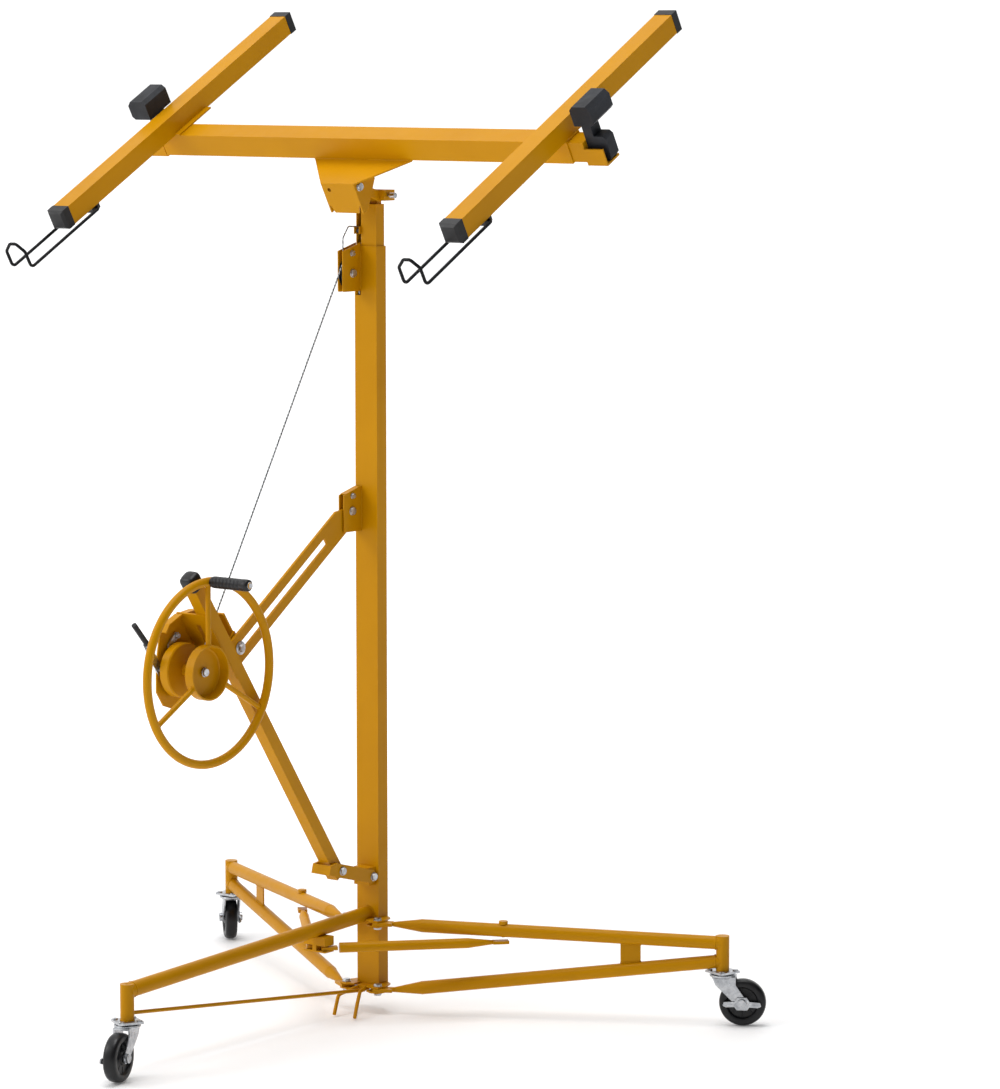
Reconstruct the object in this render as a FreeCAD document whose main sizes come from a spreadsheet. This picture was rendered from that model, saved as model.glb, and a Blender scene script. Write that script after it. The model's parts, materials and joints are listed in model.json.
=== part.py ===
"""A drywall lift: tripod base on casters, telescoping mast, winch with hand wheel, and a tilting cradle.

Frame: +X along the cradle's crossbeam, towards the hand wheel's open side; -Y towards the winch and the
operator; +Z up. The origin is on the floor, on the axis of the mast. All sizes are in millimetres.
"""
import FreeCAD, Part
import math
import os

V = FreeCAD.Vector
TURN = FreeCAD.Rotation
PLACE = FreeCAD.Placement
EAST = V(1, 0, 0)
NORTH = V(0, 1, 0)
UP = V(0, 0, 1)
ORIGIN = V(0, 0, 0)

doc = FreeCAD.newDocument("drywall_lift")

# ---------------------------------------------------------------- driving dimensions
DIMENSIONS = [
    ("mast_width", 52, "outer mast section along X"),
    ("mast_depth", 28, "outer mast section along Y"),
    ("mast_wall", 1.6, "wall of every mast section"),
    ("mast_bottom", 40, "foot of the outer section above the floor"),
    ("mast_top", 1450, "top of the outer section"),
    ("middle_width", 47.8, "middle section along X"),
    ("middle_depth", 23.8, "middle section along Y"),
    ("middle_bottom", 62, "foot of the middle section, lowered"),
    ("middle_top", 1528, "top of the middle section, lowered"),
    ("inner_width", 38.2, "inner section along X"),
    ("inner_depth", 11.2, "inner section along Y"),
    ("inner_offset", 4.0, "inner section's centre behind the mast axis"),
    ("inner_bottom", 78, "foot of the inner section, lowered"),
    ("inner_top", 1535, "top of the inner section, lowered"),
    ("cable_plane", -18, "X of the plane that the hoist cable runs in"),
    ("cable_radius", 1.6, "hoist cable"),
    ("lift_cable_radius", 1.2, "cable of the inner section"),
    ("roller_pin_radius", 1.5, "pin of the middle section's roller"),
    ("strut_side", 25, "square strut tube"),
    ("strut_wall", 1.8, "wall of the strut tube"),
    ("strut_length", 690, "strut from its foot pivot to its open top"),
    ("strut_lean", 33.96, "strut from the vertical"),
    ("strut_foot_reach", 116, "foot pivot in front of the mast axis"),
    ("strut_foot_height", 285, "foot pivot above the floor"),
    ("bolt_radius", 5, "pivot bolts and pins"),
    ("bolt_hole_radius", 5.06, "hole that turns on a pivot bolt"),
    ("slot_bolt_radius", 4.6, "bolt in the brace's slot"),
    ("pin_radius", 3, "pins of the brake lever, the pawl and the tilt latch"),
    ("pin_hole_radius", 3.06, "hole that turns or slides on a pin"),
    ("head_radius", 8.5, "bolt heads"),
    ("head_thickness", 5, "bolt heads, along the bolt"),
    ("wheel_radius", 165, "centre line of the hand wheel's rim"),
    ("rim_radius", 8, "hand wheel's rim tube"),
    ("spoke_radius", 5, "hand wheel's spokes"),
    ("drum_radius", 50, "cable drum's closed flange"),
        ("core_radius", 12, "bare core of the cable drum"),
    ("strut_fold_reach", 300, "length of the brace's slot inwards from its bolt"),
    ("winding_radius", 14, "centre line of the wound cable"),
    ("cup_radius", 50, "hand wheel's cup"),
    ("cup_depth", 22, "hand wheel's cup along X"),
    ("pulley_radius", 29.6, "top pulley's flanges"),
    ("pulley_groove", 27.5, "centre line of the cable on the top pulley"),
    ("pulley_thickness", 8, "top pulley along X"),
    ("leg_tube_radius", 12.5, "side leg tubes"),
    ("front_tube_radius", 14, "front leg tube"),
    ("rod_radius", 3.5, "thin rods of the base"),
    ("stretcher_radius", 9.5, "stretcher tubes"),
    ("side_leg_length", 654, "hinge pin to post, side legs"),
    ("side_leg_heading", 29.5, "side leg from the X axis, seen from above"),
    ("front_leg_length", 690, "mast axis to post, front leg"),
    ("hinge_reach_x", 38, "leg hinge pins beside the mast axis"),
    ("hinge_reach_y", 32, "leg hinge pins in front of the mast axis"),
    ("upper_hinge_height", 173, "upper leg hinge"),
    ("lower_hinge_height", 46, "lower leg hinge"),
    ("post_bottom", 103, "lower end of each caster post"),
    ("post_top", 169, "upper end of each caster post"),
    ("caster_radius", 44, "caster wheel"),
    ("caster_width", 24, "caster wheel along its axle"),
    ("caster_trail", 38, "swivel axis to wheel axle"),
    ("cradle_tilt", 29.4, "cradle's rise towards +Y as it stands"),
    ("beam_height", 1641, "centre of the crossbeam"),
    ("beam_reach", 12, "crossbeam in front of the mast axis"),
    ("beam_side", 44, "square crossbeam"),
    ("beam_length", 972, "crossbeam"),
    ("beam_wall", 2, "wall of the crossbeam"),
    ("arm_side", 38, "square cross arms"),
    ("arm_length", 720, "cross arm between its end caps"),
    ("arm_wall", 1.8, "wall of the cross arms"),
    ("arm_spacing", 930, "cross arm to cross arm"),
    ("arm_shift", 13.6, "cross arms' middle beyond the crossbeam"),
    ("cap_length", 22, "visible length of an end cap"),
    ("head_width", 78, "cradle's pivot box along X"),
    ("sheet_wall", 3, "bent sheet brackets"),
    ("pivot_back", 97, "cradle pivot from the crossbeam's centre, along the arms"),
    ("pivot_drop", 35, "cradle pivot below the crossbeam's centre"),
    ("outrigger_side", 39, "outrigger tube inside the crossbeam"),
    ("outrigger_length", 360, "outrigger tube"),
    ("left_draw", 1, "left outrigger drawn out of the crossbeam"),
    ("right_draw", 30, "right outrigger drawn out of the crossbeam"),
    ("hook_wire", 3, "radius of the hooks' wire"),
    ("hook_half_width", 23.5, "hook's legs from the arm's centre"),
    ("hook_length", 214, "hook from its pivot to its bend"),
    ("hook_rise", 50, "hook's upturned end"),
]

sheet = doc.addObject("Spreadsheet::Sheet", "Sizes")
for row, (alias, value, note) in enumerate(DIMENSIONS, 1):
    sheet.set(f"A{row}", note)
    sheet.set(f"B{row}", str(value))
    sheet.setAlias(f"B{row}", alias)
doc.recompute()

pieces = []


def size(alias):
    """The value of a cell of the sheet."""
    return float(sheet.get(alias))


def bind(obj, **formulas):
    """Binds properties of an object to formulas of the sheet's aliases."""
    for prop, formula in formulas.items():
        for alias, _, _ in sorted(DIMENSIONS, key=lambda entry: -len(entry[0])):
            formula = replace_word(formula, alias)
        obj.setExpression(prop, formula)
    return obj


def replace_word(formula, alias):
    """Puts the sheet's name before each whole-word use of an alias."""
    out = []
    for word in formula.split(" "):
        bare = word.strip("()")
        out.append(word.replace(bare, "Sizes." + alias) if bare == alias else word)
    return " ".join(out)


def label(obj, node, place=None):
    """Names a finished sub-part and puts it in the list that is exported."""
    obj.Label = node
    if place is not None:
        obj.Placement = place.multiply(obj.Placement)
    pieces.append(obj)
    return obj


# ---------------------------------------------------------------- shapes
def block(centre, length, width, height, turn=None):
    """A box about its centre; its three sizes are formulas."""
    obj = bind(doc.addObject("Part::Box", "Block"), Length=length, Width=width, Height=height)
    doc.recompute()
    half = V(obj.Length.Value / 2, obj.Width.Value / 2, obj.Height.Value / 2)
    rotation = turn or TURN()
    obj.Placement = PLACE(centre - rotation.multVec(half), rotation)
    return obj


def rod(start, end, radius):
    """A cylinder from start to end; its radius is a formula."""
    obj = bind(doc.addObject("Part::Cylinder", "Rod"), Radius=radius)
    obj.Height = (end - start).Length
    obj.Placement = PLACE(start, TURN(UP, end - start))
    return obj


def join(*shapes):
    """One node of several shapes, welded where they meet."""
    if len(shapes) == 1:
        return shapes[0]
    obj = doc.addObject("Part::MultiFuse", "Join")
    obj.Shapes = list(shapes)
    obj.Refine = False
    return obj


def cut(base, *tools):
    """The base without the tools."""
    obj = doc.addObject("Part::Cut", "Cut")
    obj.Base = base
    obj.Tool = join(*tools)
    obj.Refine = False
    return obj


def plane_of(body, role):
    """One of a body's own origin planes."""
    return next(o for o in body.Origin.OriginFeatures if o.Role == role)


def sketched(body, outline, role):
    """A closed sketch of straight runs on one of the body's origin planes."""
    sketch = body.newObject("Sketcher::SketchObject", "Outline")
    sketch.AttachmentSupport = [(plane_of(body, role), "")]
    sketch.MapMode = "FlatFace"
    count = len(outline)
    for i, (x, y) in enumerate(outline):
        x_next, y_next = outline[(i + 1) % count]
        sketch.addGeometry(Part.LineSegment(V(x, y, 0), V(x_next, y_next, 0)))
    return sketch


def plate(outline, thickness, place):
    """A flat piece: the outline in its own XY plane, thickened by a formula about that plane."""
    body = doc.addObject("PartDesign::Body", "Plate")
    pad = body.newObject("PartDesign::Pad", "Pad")
    pad.Profile = sketched(body, outline, "XY_Plane")
    pad.Midplane = True
    bind(pad, Length=thickness)
    body.Tip = pad
    body.Placement = place
    return body


def turned(profile, place):
    """A turned piece: the profile of (along, radius) points revolved about the body's X axis."""
    body = doc.addObject("PartDesign::Body", "Turned")
    sketch = sketched(body, profile, "XY_Plane")
    feature = body.newObject("PartDesign::Revolution", "Revolution")
    feature.Profile = sketch
    feature.ReferenceAxis = (sketch, ["H_Axis"])
    feature.Angle = 360
    body.Tip = feature
    body.Placement = place
    return body


def rounded_path(points, bend):
    """Straight runs joined by tangent arcs of the bend radius, or less where a run is short."""
    edges = []
    start = points[0]
    for before, corner, after in zip(points, points[1:], points[2:]):
        back = (before - corner).normalize()
        ahead = (after - corner).normalize()
        half = back.getAngle(ahead) / 2
        room = 0.45 * min((before - corner).Length, (after - corner).Length)
        radius = min(bend, room * math.tan(half))
        reach = radius / math.tan(half)
        inward = (back + ahead).normalize()
        middle = corner + inward * (radius / math.sin(half) - radius)
        edges.append(Part.LineSegment(start, corner + back * reach).toShape())
        edges.append(Part.Arc(corner + back * reach, middle, corner + ahead * reach).toShape())
        start = corner + ahead * reach
    edges.append(Part.LineSegment(start, points[-1]).toShape())
    return Part.Wire(edges)


def bent_rod(points, radius, bend):
    """A round rod bent along the points."""
    path = rounded_path(points, bend)
    section = Part.Wire([Part.makeCircle(radius, points[0], points[1] - points[0])])
    obj = doc.addObject("Part::Feature", "BentRod")
    obj.Shape = path.makePipeShell([section], True, False)
    ratio = obj.Shape.Volume / (path.Length * math.pi * radius**2)
    if abs(ratio - 1) > 0.01:
        raise RuntimeError(f"bent rod volume is {ratio:.3f} of its section times its length")
    return obj


def hollow(centre, length, width, height, wall, along):
    """A rectangular tube, open at both ends, along one of its own axes."""
    inner = {
        "x": (f"{length} + {wall}", f"{width} - 2 * {wall}", f"{height} - 2 * {wall}"),
        "y": (f"{length} - 2 * {wall}", f"{width} + {wall}", f"{height} - 2 * {wall}"),
        "z": (f"{length} - 2 * {wall}", f"{width} - 2 * {wall}", f"{height} + {wall}"),
    }[along]
    return cut(block(centre, length, width, height), block(centre, *inner))


def bolt(start, end, head_at_start=True, head_at_end=True):
    """A pivot bolt from face to face, with a head outside either end."""
    shapes = [rod(start, end, "bolt_radius")]
    out = (end - start).normalize() * size("head_thickness")
    if head_at_start:
        shapes.append(rod(start - out, start, "head_radius"))
    if head_at_end:
        shapes.append(rod(end, end + out, "head_radius"))
    return join(*shapes)


# Looking along +X, with the outline's x towards +Y and its y towards +Z.
SIDE_ON = TURN(V(1, 1, 1), 120)


def side_plate(outline, thickness, x):
    """A flat piece in the plane of X, its outline given as (y, z)."""
    return plate(outline, thickness, PLACE(V(x, 0, 0), SIDE_ON))


# ---------------------------------------------------------------- frames
cable_x = size("cable_plane")
strut_foot = V(0, -size("strut_foot_reach"), size("strut_foot_height"))
# In the strut's frame z runs up along the strut and y towards the mast.
strut_frame = PLACE(strut_foot, TURN(EAST, size("strut_lean")))
# In the cradle's frame y runs along the cross arms and z out of the panel's plane.
cradle_frame = PLACE(V(0, -size("beam_reach"), size("beam_height")), TURN(EAST, size("cradle_tilt")))
axle_along = 560.3
axle_out = -79.3
axle = strut_frame.multVec(V(0, axle_out, axle_along))
pulley_centre = V(cable_x, -(size("pulley_groove") + 10), 1400)
brace_bolt = strut_frame.multVec(V(0, 47.3, 506.6))
brace_pivot = V(cable_x, -42, 955)
link_bolt = V(0, -24, 260)
bracket_screws = {"pulley_bracket": V(cable_x, -39.4, 1437), "brace_bracket": V(cable_x, -41, 983.5)}
stretcher_pin = V(17, -160, 145)
cradle_pivot = cradle_frame.multVec(V(0, -size("pivot_back"), -size("pivot_drop")))


# Outlines in the strut's frame, as (out of the strut towards the mast, along the strut).
LIP_OUTLINE = [(-70, 640), (-54, 646), (-20, 640), (16, 622), (51, 594), (49, 591.5), (14.5, 619),
               (-20.5, 637), (-54, 643), (-69, 637)]
HOUSING_OUTLINE = LIP_OUTLINE[:5] + [(60, 560), (60, 500), (40, 486), (-60, 488), (-128, 508), (-140, 524),
                                     (-140, 556), (-110, 600)]
LEVER_PIVOT = (-112, 586)
PAWL_PIVOT = (-45, 611)


# ---------------------------------------------------------------- mast
def build_mast():
    """The outer, middle and inner sections, with the inner glides and the middle section's roller."""
    height = size("mast_top") - size("mast_bottom")
    outer = hollow(V(0, 0, size("mast_bottom") + height / 2), "mast_width", "mast_depth",
                   "mast_top - mast_bottom", "mast_wall", "z")
    front = -size("mast_depth") / 2
    pulley_slot = block(V(cable_x, front, 1408), "pulley_thickness + 4", "8", "100")
    foot_chamfer = side_plate([(6, 38), (20, 38), (20, 58)], "mast_width + 20", 0)
    label(cut(outer, pulley_slot, foot_chamfer), "outer_mast")

    mid_height = (size("middle_bottom") + size("middle_top")) / 2
    middle_front = -size("middle_depth") / 2
    middle = hollow(V(0, 0, mid_height), "middle_width", "middle_depth", "middle_top - middle_bottom",
                    "mast_wall", "z")
    channel = block(V(cable_x + 0.9, middle_front, mid_height), "10", "8", "middle_top - middle_bottom + 10")
    anchor = block(V(cable_x, middle_front + 2.3, 71), "9", "4.6", "15")
    cheeks = [block(V(cable_x + x, middle_front - 1, 1479), "1.4", "10", "14") for x in (-5.9, 5.9)]
    axle_at = V(cable_x, -9.6, 1478)
    roller_pin = rod(axle_at - EAST * 6.4, axle_at + EAST * 6.4, "roller_pin_radius")
    label(join(cut(middle, channel), anchor, *cheeks, roller_pin), "middle_mast")
    bore = size("roller_pin_radius") + 0.06
    roller = turned([(-3.8, bore), (-3.8, 4.9), (-2.6, 4.5), (2.6, 4.5), (3.8, 4.9), (3.8, bore)],
                    PLACE(axle_at, TURN()))
    label(roller, "middle_roller")

    inner_y = size("inner_offset")
    inner_mid = (size("inner_bottom") + size("inner_top")) / 2
    inner = hollow(V(0, inner_y, inner_mid), "inner_width", "inner_depth",
                   "inner_top - inner_bottom", "mast_wall", "z")
    label(inner, "inner_mast")

    glides = []
    inner_front = inner_y - size("inner_depth") / 2
    for side in (-1, 1):
        x = side * (size("inner_width") / 2 + 1.35)
        glides.append(block(V(x, inner_y, size("inner_bottom") + 30), "2.7", "7", "40"))
    for x in (-6, 10):
        glides.append(block(V(x, inner_front - 4.2, size("inner_bottom") + 30), "10", "8.4", "40"))
    label(join(*glides), "inner_glides")


def build_mast_brackets():
    """The pulley's and the brace's channels on the front of the outer section, and its link lug."""
    face = -size("mast_depth") / 2
    for node, low, high, front in (("pulley_bracket", 1366, 1446, -66), ("brace_bracket", 916, 990, -66)):
        sides = []
        for x in (cable_x - 5.5, cable_x + 5.5):
            outline = [(front, low + 2), (front + 2, low), (face, low), (face, high + 10), (front, high - 4)]
            sides.append(side_plate(outline, "2", x))
        if node == "brace_bracket":
            top = block(V(cable_x, (front + face) / 2 + 1, high + 3.2), "13", "44", "2", TURN(EAST, 15))
            sides.append(top)
            centre = brace_pivot
        else:
            centre = pulley_centre
        holes = [rod(centre + V(-20, 0, 0), centre + V(20, 0, 0), "bolt_radius")]
        screw = bracket_screws[node]
        holes.append(rod(screw + V(-20, 0, 0), screw + V(20, 0, 0), "pin_radius"))
        label(cut(join(*sides), *holes), node)


def build_root_bolts():
    """The pulley's axle, the brace's and link's bolts and the legs' hinge pins."""
    shapes = []
    for centre in (pulley_centre, brace_pivot):
        shapes.append(bolt(centre + V(-6.5, 0, 0), centre + V(6.5, 0, 0)))
    for centre in bracket_screws.values():
        shapes.append(rod(centre + V(-6.5, 0, 0), centre + V(6.5, 0, 0), "pin_radius"))
        for x in (-8.5, 8.5):
            shapes.append(rod(centre + V(x - 2, 0, 0), centre + V(x + 2, 0, 0), "head_radius - 2.5"))
    shapes.append(bolt(link_bolt + V(-22, 0, 0), link_bolt + V(22, 0, 0)))
    foot = V(0, strut_foot.y, strut_foot.z)
    shapes.append(bolt(foot + V(-22, 0, 0), foot + V(22, 0, 0)))
    for side in (-1, 1):
        for height in (size("upper_hinge_height"), size("lower_hinge_height")):
            pin = V(side * size("hinge_reach_x"), -size("hinge_reach_y"), height)
            shapes.append(bolt(pin - UP * 6.2, pin + UP * 6.2, True, True))
    label(join(*shapes), "mast_bolts")


def build_link():
    """The bent strap from the mast's lug round the foot of the strut, and the lug itself."""
    run = strut_foot - link_bolt
    angle = math.degrees(math.atan2(-run.z, -run.y))
    frame = PLACE(link_bolt, TURN(EAST, angle))
    reach = run.Length
    half = 12.5
    arms = []
    for x in (-20, 20):
        outline = [(6, -9), (9, 0), (6, 9), (-2, half), (-reach - 20, half), (-reach - 36, 5.5), (-reach - 36, -half),
                   (-2, -half)]
        arms.append(plate(outline, "4", PLACE(V(x, 0, 0), SIDE_ON)))
    bridge = block(V(0, -reach - 34, -3.5), "44", "4", "18")
    strap = join(*arms, bridge)
    holes = [rod(V(-30, y, 0), V(30, y, 0), "bolt_radius") for y in (0, -reach)]
    arms_and_bridge = cut(strap, *holes)
    arms_and_bridge.Placement = frame
    face = -size("mast_depth") / 2
    lug = block(V(0, (face - 33) / 2, link_bolt.z), "35.6", "-1 * (-33 + mast_depth / 2)", "34")
    bore = rod(link_bolt + V(-20, 0, 0), link_bolt + V(20, 0, 0), "bolt_radius")
    label(join(arms_and_bridge, cut(lug, bore)), "strut_link")


# ---------------------------------------------------------------- base
def build_hubs():
    """The ears that hold the legs' hinge pins, two plates at each hinge."""
    ears = []
    edge = size("mast_width") / 2
    for side in (-1, 1):
        for height in (size("upper_hinge_height"), size("lower_hinge_height")):
            for gap in (-4.7, 4.7):
                outline = [(edge, 12), (edge, -16), (15, -18), (15, -38), (30, -45), (46, -42), (50, -24), (40, 4)]
                points = [(side * x, y) for x, y in outline]
                ears.append(plate(points, "3", PLACE(V(0, 0, height + gap), TURN())))
    pins = []
    for side in (-1, 1):
        pin = V(side * size("hinge_reach_x"), -size("hinge_reach_y"), 0)
        pins.append(rod(pin + UP * 20, pin + UP * 220, "bolt_radius"))
    label(cut(join(*ears), *pins), "leg_hubs")


def build_front_leg():
    """The fixed front leg: a tube, its post and the stretchers' clevis."""
    near = V(0, -14.8, 185.7)
    far = V(0, -size("front_leg_length"), 156.2)
    post = V(0, -size("front_leg_length"), 0)
    tube = rod(near, far, "front_tube_radius")
    post_tube = rod(post + UP * size("post_bottom"), post + UP * size("post_top"), "leg_tube_radius")
    clevis = V(0, stretcher_pin.y, stretcher_pin.z)
    roof = block(clevis + UP * 14, "52", "26", "17")
    sole = block(clevis - UP * 5.6, "52", "26", "3")
    web = block(clevis + UP * 2, "9", "26", "16")
    pins = []
    for side in (-1, 1):
        centre = clevis + EAST * side * stretcher_pin.x
        pins.append(rod(centre - UP * 7, centre + UP * 8, "bolt_radius"))
    label(join(tube, post_tube, roof, sole, web, *pins), "front_leg")


def build_stand_rods():
    """Two rods that hang from the foot of the mast nearly to the floor."""
    radius = size("rod_radius")
    right = bent_rod([V(9.5, -14.6, 46), V(9.5, -50, 42), V(24, -77, 22), V(39, -102, 5)], radius, 12)
    left = bent_rod([V(-9.5, -14.6, 46), V(-9.5, -48, 44), V(-27, -70, 34), V(-10, -103, 5)], radius, 12)
    low_rod = rod(V(0, -26, 39), V(0, -size("front_leg_length") + 13.2, 114.4), "rod_radius")
    label(join(right, left, low_rod, block(V(0, -24.1, 46), "20", "20", "8")), "stand_rods")


def build_side_leg(side):
    """A folding side leg: two tubes with flattened ends, a gusset and the caster's post."""
    heading = size("side_leg_heading") if side > 0 else 180 - size("side_leg_heading")
    hinge = V(side * size("hinge_reach_x"), -size("hinge_reach_y"), 0)
    frame = PLACE(hinge, TURN(UP, heading))
    reach = size("side_leg_length")
    shapes = []
    for height, far_height in ((size("upper_hinge_height"), 155), (size("lower_hinge_height"), 121)):
        rise = (far_height - height) / (reach - 34)
        shapes.append(rod(V(84, 0, height + 50 * rise), V(reach, 0, far_height), "leg_tube_radius"))
        shapes.append(tapered_end(V(24, 0, height), V(86, 0, height + 52 * rise), "leg_tube_radius"))
        shapes.append(block(V(10.5, 0, height), "37", "26", "5.8"))
    shapes.append(rod(V(reach, 0, size("post_bottom")), V(reach, 0, size("post_top")), "leg_tube_radius"))
    shapes.append(rod(V(240, 0, 154.2), V(240, 0, 183), "rod_radius"))
    shapes.append(rod(V(240, 0, 179), V(240, 0, 185), "head_radius"))
    gusset = plate([(462, 98), (462, 160), (500, 160), (500, 98)], "3", PLACE(ORIGIN, TURN(EAST, 90)))
    shapes.append(gusset)
    holes = [rod(V(0, 0, 30), V(0, 0, 200), "bolt_hole_radius")]
    label(cut(join(*shapes), *holes), "right_leg" if side > 0 else "left_leg", frame)


def tapered_end(narrow, wide, radius):
    """A tube's end, narrowing from the tube's radius towards its flat tab."""
    cone = bind(doc.addObject("Part::Cone", "TaperedEnd"), Radius2=radius)
    cone.Radius1 = 3.6
    cone.Height = (wide - narrow).Length
    cone.Placement = PLACE(narrow, TURN(UP, wide - narrow))
    return cone


def build_stretcher(side):
    """A tube with a tab in the front leg's clevis and a tapered, flattened end below a side leg."""
    start = V(side * stretcher_pin.x, stretcher_pin.y, stretcher_pin.z)
    heading = math.radians(size("side_leg_heading"))
    end = V(side * (size("hinge_reach_x") + 240 * math.cos(heading)),
            240 * math.sin(heading) - size("hinge_reach_y"), stretcher_pin.z)
    run = end - start
    frame = PLACE(start, TURN(EAST, run))
    length = run.Length
    tube = rod(V(26, 0, 0), V(length - 66, 0, 0), "stretcher_radius")
    tabs = [block(V(7, 0, 0), "30", "18", "5.8"), block(V(length - 5, 0, 0), "30", "18", "5.8"),
            tapered_end(V(length - 16, 0, 0), V(length - 68, 0, 0), "stretcher_radius")]
    pivot = rod(V(0, 0, -20), V(0, 0, 20), "bolt_hole_radius")
    label(cut(join(tube, *tabs), pivot), "right_stretcher" if side > 0 else "left_stretcher", frame)


def build_caster(name, post, heading):
    """A swivel caster: a plate on the post, the fork with its axle, the wheel and the brake pedal."""
    frame = PLACE(post, TURN(UP, heading))
    bottom = size("post_bottom")
    axle_height = size("caster_radius")
    trail = size("caster_trail")
    square = block(V(0, 0, bottom - 2), "46", "46", "4", TURN(UP, 45))
    studs = [rod(V(x, y, bottom - 1), V(x, y, bottom + 2), "rod_radius")
             for x, y in ((24, 0), (-24, 0), (0, 24), (0, -24))]
    label(join(square, *studs), f"{name}_caster_plate", frame)

    half = size("caster_width") / 2 + 3.2
    crown = turned([(90, 0), (90, 20), (93, 24), (96, 24), (98.7, 18), (98.7, 0)],
                   PLACE(ORIGIN, TURN(NORTH, -90)))
    top = block(V(4, 0, 91.5), "44", "2 * 13.7 + 4", "3")
    cheeks = []
    for y in (-half, half):
        outline = [(-18, 93), (-12, 78), (trail - 12, axle_height - 3), (trail - 6, axle_height - 9),
                   (trail + 6, axle_height - 9), (trail + 12, axle_height), (26, 78), (26, 93)]
        cheeks.append(plate(outline, "2.4", PLACE(V(0, y, 0), TURN(EAST, 90))))
    pin = bolt(V(trail, -half - 5.1, axle_height), V(trail, half + 1.2, axle_height))
    label(join(crown, top, *cheeks, pin), f"{name}_fork", frame)

    radius = size("caster_radius")
    width = size("caster_width") / 2
    profile = [(-width, size("bolt_hole_radius")), (-width, 12), (-width + 4, 14), (-width + 4, 26),
               (-width, 29), (-width, radius - 4), (-width + 4, radius), (width - 4, radius),
               (width, radius - 4), (width, 29), (width - 4, 26), (width - 4, 14), (width, 12),
               (width, size("bolt_hole_radius"))]
    wheel_place = PLACE(V(trail, 0, axle_height), TURN(UP, 90))
    label(turned(profile, frame.multiply(wheel_place)), f"{name}_wheel")

    outline = [(-36, -4), (-30, -7), (-14, -6), (-10, -12), (10, -12), (14, -6), (30, -7), (36, -4),
               (34, 3), (14, 4), (9, 12), (-9, 12), (-14, 4), (-34, 3)]
    pedal = plate(outline, "2.5", PLACE(V(trail, -half - 3.4, axle_height), TURN(EAST, 90)))
    bore = rod(V(trail, -half - 9, axle_height), V(trail, -half + 9, axle_height), "bolt_hole_radius")
    label(cut(pedal, bore), f"{name}_pedal", frame)


# ---------------------------------------------------------------- strut and winch
def build_strut():
    """The square strut with its top cap, and the slotted brace between it and the mast."""
    length = size("strut_length")
    tube = hollow(V(0, 0, (length - 14) / 2), "strut_side", "strut_side", "strut_length + 14", "strut_wall", "z")
    hole = rod(V(-30, 0, 0), V(30, 0, 0), "bolt_hole_radius")
    label(cut(tube, hole), "strut_tube", strut_frame)
    cap = bevelled_cap(V(0, 15.1, 0), "strut_side + 5", "30", 6, 1)
    plug = block(V(0, -6, 0), "strut_side - 2 * strut_wall - 0.4", "14", "strut_side - 2 * strut_wall - 0.4")
    label(join(cap, plug), "strut_cap", strut_frame.multiply(PLACE(V(0, 0, length), TURN(EAST, 90))))

    run = brace_bolt - brace_pivot
    length = V(0, run.y, run.z).Length
    angle = math.degrees(math.atan2(run.z, run.y))
    frame = PLACE(brace_pivot, TURN(EAST, angle))
    half = 25.5
    bar = plate([(-9, -9), (9, -9 - 4), (34, -half), (length + 24, -half), (length + 30, -half + 8),
                 (length + 30, half - 8), (length + 24, half), (34, half), (9, 13), (-9, 9)],
                "5", PLACE(ORIGIN, SIDE_ON))
    inner = length - size("strut_fold_reach")
    slot = plate([(inner, -7.4), (length + 8, -7.4), (length + 8, 7.4), (inner, 7.4)],
                 "12", PLACE(ORIGIN, SIDE_ON))
    hole = rod(V(-9, 0, 0), V(9, 0, 0), "bolt_hole_radius")
    label(cut(bar, slot, hole), "slotted_brace", frame)

    local = strut_frame.inverse().multVec(V(cable_x, brace_bolt.y, brace_bolt.z))
    stud = join(rod(local + V(-9.5, 0, 0), local + V(2.8, 0, 0), "slot_bolt_radius"),
                rod(local + V(2.8, 0, 0), local + V(4.8, 0, 0), "head_radius + 4"),
                rod(local + V(4.8, 0, 0), local + V(9.5, 0, 0), "head_radius - 1"))
    label(stud, "slot_bolt", strut_frame)


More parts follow.
